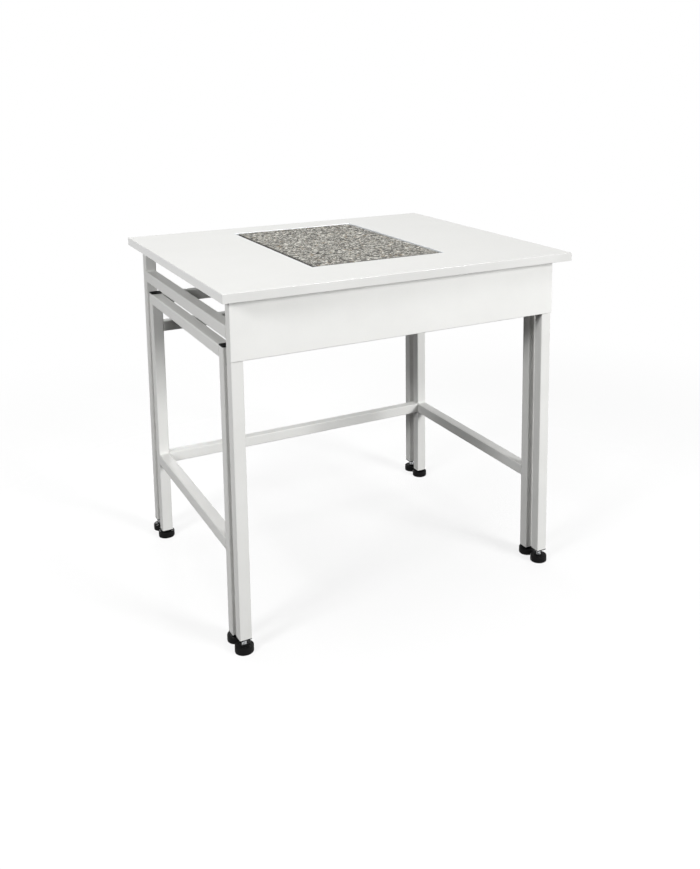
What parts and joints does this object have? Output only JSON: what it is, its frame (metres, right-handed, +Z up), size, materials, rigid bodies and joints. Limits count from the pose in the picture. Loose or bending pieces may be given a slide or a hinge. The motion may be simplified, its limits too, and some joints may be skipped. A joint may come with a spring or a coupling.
{
  "type": "weighing balance table",
  "caption": "Anti-vibration balance table: a granite weighing slab on its own steel frame stands free inside an outer work table with a cut-out worktop, all on screw feet.",
  "frame": {"origin": "on the floor under the middle of the worktop", "axes": "+Z up, +X to the right along the front edge, +Y to the back"},
  "size_m": [0.8, 0.7, 0.74],
  "materials": {
    "laminate_board": "white laminated chipboard, satin",
    "edge_band": "pale grey edge strip, satin",
    "apron_coat": "white powder coat",
    "frame_coat": "light grey-white powder coat",
    "granite": null,
    "black_rubber": "matte black",
    "black_plastic": "moulded black",
    "zinc_steel": "bright zinc plate, threaded"
  },
  "bodies": {
    "inner_table": {"inner_front_rail": "frame_coat", "inner_back_rail": "frame_coat", "back_stretcher": "frame_coat", "inner_side_rail_left": "frame_coat", "side_stretcher_left": "frame_coat", "slab_bearer_left": "frame_coat", "inner_leg_front_left": "frame_coat", "foot_plug_inner_front_left": "black_plastic", "leg_cap_front_left": "black_plastic", "slab_damper_front_left": "black_rubber", "inner_leg_back_left": "frame_coat", "foot_plug_inner_back_left": "black_plastic", "leg_cap_back_left": "black_plastic", "slab_damper_back_left": "black_rubber", "inner_side_rail_right": "frame_coat", "side_stretcher_right": "frame_coat", "slab_bearer_right": "frame_coat", "inner_leg_front_right": "frame_coat", "foot_plug_inner_front_right": "black_plastic", "leg_cap_front_right": "black_plastic", "slab_damper_front_right": "black_rubber", "inner_leg_back_right": "frame_coat", "foot_plug_inner_back_right": "black_plastic", "leg_cap_back_right": "black_plastic", "slab_damper_back_right": "black_rubber"},
    "outer_table": {"worktop_board": "laminate_board", "worktop_edge_band": "edge_band", "cutout_edge_band": "edge_band", "front_apron": "apron_coat", "outer_back_rail": "frame_coat", "outer_side_rail_left": "frame_coat", "worktop_fixing_angle_left": "frame_coat", "outer_leg_front_left": "frame_coat", "foot_plug_outer_front_left": "black_plastic", "outer_leg_back_left": "frame_coat", "foot_plug_outer_back_left": "black_plastic", "outer_side_rail_right": "frame_coat", "worktop_fixing_angle_right": "frame_coat", "outer_leg_front_right": "frame_coat", "foot_plug_outer_front_right": "black_plastic", "outer_leg_back_right": "frame_coat", "foot_plug_outer_back_right": "black_plastic"},
    "slab": {"granite_slab": "granite"},
    "pad_outer_front_left": {"foot_pad_outer_front_left": "black_rubber"},
    "stem_outer_front_left": {"foot_stem_outer_front_left": "zinc_steel"},
    "pad_outer_back_left": {"foot_pad_outer_back_left": "black_rubber"},
    "stem_outer_back_left": {"foot_stem_outer_back_left": "zinc_steel"},
    "pad_outer_front_right": {"foot_pad_outer_front_right": "black_rubber"},
    "stem_outer_front_right": {"foot_stem_outer_front_right": "zinc_steel"},
    "pad_outer_back_right": {"foot_pad_outer_back_right": "black_rubber"},
    "stem_outer_back_right": {"foot_stem_outer_back_right": "zinc_steel"},
    "pad_inner_front_left": {"foot_pad_inner_front_left": "black_rubber"},
    "stem_inner_front_left": {"foot_stem_inner_front_left": "zinc_steel"},
    "pad_inner_back_left": {"foot_pad_inner_back_left": "black_rubber"},
    "stem_inner_back_left": {"foot_stem_inner_back_left": "zinc_steel"},
    "pad_inner_front_right": {"foot_pad_inner_front_right": "black_rubber"},
    "stem_inner_front_right": {"foot_stem_inner_front_right": "zinc_steel"},
    "pad_inner_back_right": {"foot_pad_inner_back_right": "black_rubber"},
    "stem_inner_back_right": {"foot_stem_inner_back_right": "zinc_steel"}
  },
  "joints": [
    {"name": "outer_table_lift", "type": "slide", "parent": "inner_table", "child": "outer_table", "axis": [0, 0, 1], "range_m": [0, 0.76]},
    {"name": "slab_lift", "type": "slide", "parent": "inner_table", "child": "slab", "axis": [0, 0, 1], "range_m": [0, 0.12]},
    {"name": "level_outer_front_left", "type": "slide", "parent": "outer_table", "child": "pad_outer_front_left", "axis": [0, 0, -1], "range_m": [0, 0.018]},
    {"name": "turn_outer_front_left", "type": "hinge", "parent": "pad_outer_front_left", "child": "stem_outer_front_left", "pos_m": [-0.3625, -0.2985, 0.03], "axis": [0, 0, -1], "range_deg": [0, 4320]},
    {"name": "level_outer_back_left", "type": "slide", "parent": "outer_table", "child": "pad_outer_back_left", "axis": [0, 0, -1], "range_m": [0, 0.018]},
    {"name": "turn_outer_back_left", "type": "hinge", "parent": "pad_outer_back_left", "child": "stem_outer_back_left", "pos_m": [-0.3625, 0.3045, 0.03], "axis": [0, 0, -1], "range_deg": [0, 4320]},
    {"name": "level_outer_front_right", "type": "slide", "parent": "outer_table", "child": "pad_outer_front_right", "axis": [0, 0, -1], "range_m": [0, 0.018]},
    {"name": "turn_outer_front_right", "type": "hinge", "parent": "pad_outer_front_right", "child": "stem_outer_front_right", "pos_m": [0.3625, -0.2985, 0.03], "axis": [0, 0, -1], "range_deg": [0, 4320]},
    {"name": "level_outer_back_right", "type": "slide", "parent": "outer_table", "child": "pad_outer_back_right", "axis": [0, 0, -1], "range_m": [0, 0.018]},
    {"name": "turn_outer_back_right", "type": "hinge", "parent": "pad_outer_back_right", "child": "stem_outer_back_right", "pos_m": [0.3625, 0.3045, 0.03], "axis": [0, 0, -1], "range_deg": [0, 4320]},
    {"name": "level_inner_front_left", "type": "slide", "parent": "inner_table", "child": "pad_inner_front_left", "axis": [0, 0, -1], "range_m": [0, 0.018]},
    {"name": "turn_inner_front_left", "type": "hinge", "parent": "pad_inner_front_left", "child": "stem_inner_front_left", "pos_m": [-0.3625, -0.2535, 0.03], "axis": [0, 0, -1], "range_deg": [0, 4320]},
    {"name": "level_inner_back_left", "type": "slide", "parent": "inner_table", "child": "pad_inner_back_left", "axis": [0, 0, -1], "range_m": [0, 0.018]},
    {"name": "turn_inner_back_left", "type": "hinge", "parent": "pad_inner_back_left", "child": "stem_inner_back_left", "pos_m": [-0.3625, 0.2595, 0.03], "axis": [0, 0, -1], "range_deg": [0, 4320]},
    {"name": "level_inner_front_right", "type": "slide", "parent": "inner_table", "child": "pad_inner_front_right", "axis": [0, 0, -1], "range_m": [0, 0.018]},
    {"name": "turn_inner_front_right", "type": "hinge", "parent": "pad_inner_front_right", "child": "stem_inner_front_right", "pos_m": [0.3625, -0.2535, 0.03], "axis": [0, 0, -1], "range_deg": [0, 4320]},
    {"name": "level_inner_back_right", "type": "slide", "parent": "inner_table", "child": "pad_inner_back_right", "axis": [0, 0, -1], "range_m": [0, 0.018]},
    {"name": "turn_inner_back_right", "type": "hinge", "parent": "pad_inner_back_right", "child": "stem_inner_back_right", "pos_m": [0.3625, 0.2595, 0.03], "axis": [0, 0, -1], "range_deg": [0, 4320]}
  ],
  "couplings": [
    {"joint": "turn_outer_front_left", "follows": "level_outer_front_left", "rad_per_m": 4188.8},
    {"joint": "turn_outer_back_left", "follows": "level_outer_back_left", "rad_per_m": 4188.8},
    {"joint": "turn_outer_front_right", "follows": "level_outer_front_right", "rad_per_m": 4188.8},
    {"joint": "turn_outer_back_right", "follows": "level_outer_back_right", "rad_per_m": 4188.8},
    {"joint": "turn_inner_front_left", "follows": "level_inner_front_left", "rad_per_m": 4188.8},
    {"joint": "turn_inner_back_left", "follows": "level_inner_back_left", "rad_per_m": 4188.8},
    {"joint": "turn_inner_front_right", "follows": "level_inner_front_right", "rad_per_m": 4188.8},
    {"joint": "turn_inner_back_right", "follows": "level_inner_back_right", "rad_per_m": 4188.8}
  ]
}
